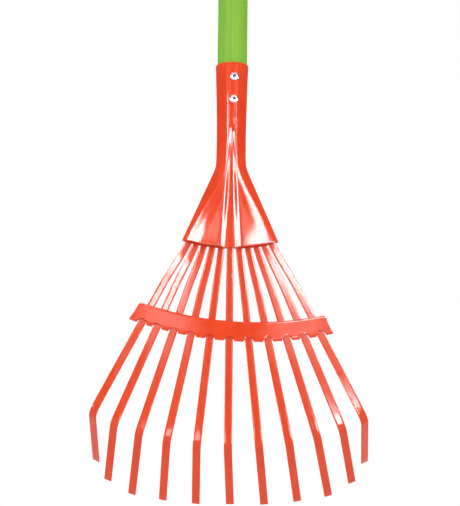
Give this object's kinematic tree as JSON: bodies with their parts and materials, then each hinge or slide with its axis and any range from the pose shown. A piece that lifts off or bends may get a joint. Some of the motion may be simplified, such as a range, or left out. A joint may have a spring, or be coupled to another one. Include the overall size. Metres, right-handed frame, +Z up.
{
  "type": "leaf rake",
  "caption": "Child-size leaf rake: tube handle with hang cap, riveted flared steel socket, folded brace and sprung steel tines with bent tips.",
  "frame": {"origin": "centre of the hang hole in the end cap, on the handle's axis", "axes": "+Z up along the handle's axis, from the tines towards the hang cap; +Y is the working side, to which the tine tips bend; +X is across the fan"},
  "size_m": [0.2075, 0.0811, 0.9182],
  "materials": {
    "handle_paint": "gloss bright green paint on a steel tube",
    "head_paint": "gloss orange powder coat on sheet steel",
    "tine_paint": "gloss orange powder coat on spring steel strip",
    "cap_plastic": "fine satin black moulding",
    "rivet_aluminium": "bright set rivet head",
    "mandrel_steel": "dull broken mandrel"
  },
  "bodies": {
    "rake": {"handle_tube": "handle_paint", "end_cap": "cap_plastic", "socket": "head_paint", "rivet_upper": "rivet_aluminium", "rivet_upper_mandrel": "mandrel_steel", "rivet_lower": "rivet_aluminium", "rivet_lower_mandrel": "mandrel_steel", "brace": "head_paint", "tine_01_shank": "tine_paint", "tine_02_shank": "tine_paint", "tine_03_shank": "tine_paint", "tine_04_shank": "tine_paint", "tine_05_shank": "tine_paint", "tine_06_shank": "tine_paint", "tine_07_shank": "tine_paint", "tine_08_shank": "tine_paint", "tine_09_shank": "tine_paint", "tine_10_shank": "tine_paint", "tine_11_shank": "tine_paint"},
    "tine_01": {"tine_01_blade": "tine_paint"},
    "tine_02": {"tine_02_blade": "tine_paint"},
    "tine_03": {"tine_03_blade": "tine_paint"},
    "tine_04": {"tine_04_blade": "tine_paint"},
    "tine_05": {"tine_05_blade": "tine_paint"},
    "tine_06": {"tine_06_blade": "tine_paint"},
    "tine_07": {"tine_07_blade": "tine_paint"},
    "tine_08": {"tine_08_blade": "tine_paint"},
    "tine_09": {"tine_09_blade": "tine_paint"},
    "tine_10": {"tine_10_blade": "tine_paint"},
    "tine_11": {"tine_11_blade": "tine_paint"}
  },
  "joints": [
    {"name": "tine_01_flex", "type": "hinge", "parent": "rake", "child": "tine_01", "pos_m": [-0.06183, 0.0016, -0.77921], "axis": [-0.8868, 0.0498, 0.4595], "range_deg": [-5, 8], "stiffness_Nm_per_rad": 2.5},
    {"name": "tine_02_flex", "type": "hinge", "parent": "rake", "child": "tine_02", "pos_m": [-0.05117, 0.00107, -0.78249], "axis": [-0.9222, 0.0407, 0.3845], "range_deg": [-5, 8], "stiffness_Nm_per_rad": 2.5},
    {"name": "tine_03_flex", "type": "hinge", "parent": "rake", "child": "tine_03", "pos_m": [-0.03952, 0.00062, -0.78549], "axis": [-0.9536, 0.0311, 0.2995], "range_deg": [-5, 8], "stiffness_Nm_per_rad": 2.5},
    {"name": "tine_04_flex", "type": "hinge", "parent": "rake", "child": "tine_04", "pos_m": [-0.02699, 0.00029, -0.78807], "axis": [-0.9784, 0.021, 0.2055], "range_deg": [-5, 8], "stiffness_Nm_per_rad": 2.5},
    {"name": "tine_05_flex", "type": "hinge", "parent": "rake", "child": "tine_05", "pos_m": [-0.01373, 0.00007, -0.79003], "axis": [-0.9945, 0.0106, 0.1046], "range_deg": [-5, 8], "stiffness_Nm_per_rad": 2.5},
    {"name": "tine_06_flex", "type": "hinge", "parent": "rake", "child": "tine_06", "pos_m": [0, 0, -0.79109], "axis": [-1, 0, 0], "range_deg": [-5, 8], "stiffness_Nm_per_rad": 2.5},
    {"name": "tine_07_flex", "type": "hinge", "parent": "rake", "child": "tine_07", "pos_m": [0.01387, 0.00007, -0.79139], "axis": [-0.9945, -0.0108, -0.1046], "range_deg": [-5, 8], "stiffness_Nm_per_rad": 2.5},
    {"name": "tine_08_flex", "type": "hinge", "parent": "rake", "child": "tine_08", "pos_m": [0.02759, 0.0003, -0.79094], "axis": [-0.9784, -0.0216, -0.2055], "range_deg": [-5, 8], "stiffness_Nm_per_rad": 2.5},
    {"name": "tine_09_flex", "type": "hinge", "parent": "rake", "child": "tine_09", "pos_m": [0.04086, 0.00067, -0.78978], "axis": [-0.9536, -0.0323, -0.2994], "range_deg": [-5, 8], "stiffness_Nm_per_rad": 2.5},
    {"name": "tine_10_flex", "type": "hinge", "parent": "rake", "child": "tine_10", "pos_m": [0.05347, 0.00118, -0.78802], "axis": [-0.9222, -0.0428, -0.3845], "range_deg": [-5, 8], "stiffness_Nm_per_rad": 2.5},
    {"name": "tine_11_flex", "type": "hinge", "parent": "rake", "child": "tine_11", "pos_m": [0.06523, 0.00179, -0.78578], "axis": [-0.8866, -0.0528, -0.4595], "range_deg": [-5, 8], "stiffness_Nm_per_rad": 2.5}
  ]
}
